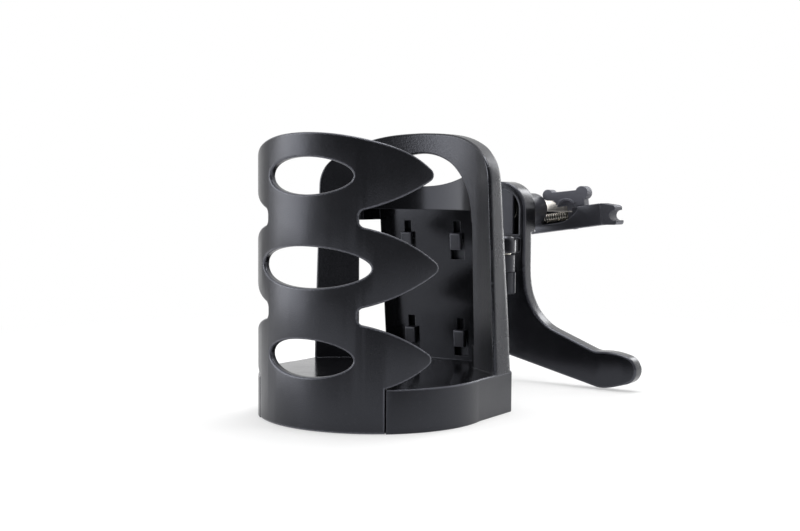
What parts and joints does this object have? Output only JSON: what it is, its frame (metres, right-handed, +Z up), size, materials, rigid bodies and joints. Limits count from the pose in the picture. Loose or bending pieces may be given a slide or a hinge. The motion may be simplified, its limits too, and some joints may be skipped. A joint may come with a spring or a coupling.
{
  "type": "car cup holder",
  "caption": "Black plastic car cup holder: round base, tall back frame, sprung sliding front shell with fingers and oval windows, and a swinging arm with support leg and vent clip.",
  "frame": {"origin": "on the cup's axis at the underside of the base", "axes": "+Z up along the cup's axis, -Y towards the front shell, +Y towards the vent mount, +X to the side that the jaws point to"},
  "size_m": [0.103, 0.1747, 0.1015],
  "materials": {
    "satin_black": "fine-grained satin black plastic",
    "gloss_black": "smooth black plastic with soft gloss",
    "matte_black": "matte black plastic",
    "soft_rubber": "soft dark grey rubber",
    "steel": "bright steel"
  },
  "bodies": {
    "holder": {"holder_body": "satin_black", "base_cover": "satin_black", "cover_screws": "steel", "claw_plate": "matte_black", "return_spring_left": "steel", "return_spring_right": "steel"},
    "shell": {"front_shell": "satin_black"},
    "mount": {"support_leg": "gloss_black", "head_cap": "gloss_black", "hinge_bolt": "steel", "hinge_washer": "steel"},
    "nut": {"thumb_nut": "matte_black"},
    "clip": {"fixed_jaw": "matte_black", "jaw_boot": "soft_rubber", "pivot_screw": "steel", "pivot_washer": "steel", "lever_pin": "steel", "grip_spring": "steel"},
    "lever": {"grip_lever": "matte_black"}
  },
  "joints": [
    {"name": "shell_slide", "type": "slide", "parent": "holder", "child": "shell", "axis": [0, -1, 0], "range_m": [0, 0.012], "stiffness_N_per_m": 60, "springref_m": -0.03, "deforming": ["return_spring_left", "return_spring_right"]},
    {"name": "mount_swing", "type": "hinge", "parent": "holder", "child": "mount", "pos_m": [0.0074, 0.082, 0.055], "axis": [0, 0, 1], "range_deg": [-15, 100]},
    {"name": "nut_turn", "type": "hinge", "parent": "mount", "child": "nut", "pos_m": [0.0074, 0.082, 0.042], "axis": [0, 0, 1], "range_deg": [0, 270]},
    {"name": "clip_pivot", "type": "hinge", "parent": "mount", "child": "clip", "pos_m": [0, 0.104, 0.072], "axis": [0, 1, 0], "range_deg": [-90, 90]},
    {"name": "lever_squeeze", "type": "hinge", "parent": "clip", "child": "lever", "pos_m": [0.01858, 0.129, 0.06552], "axis": [0, -1, 0], "range_deg": [0, 14], "stiffness_Nm_per_rad": 0.12, "springref_deg": -22.92, "deforming": ["grip_spring"]}
  ]
}
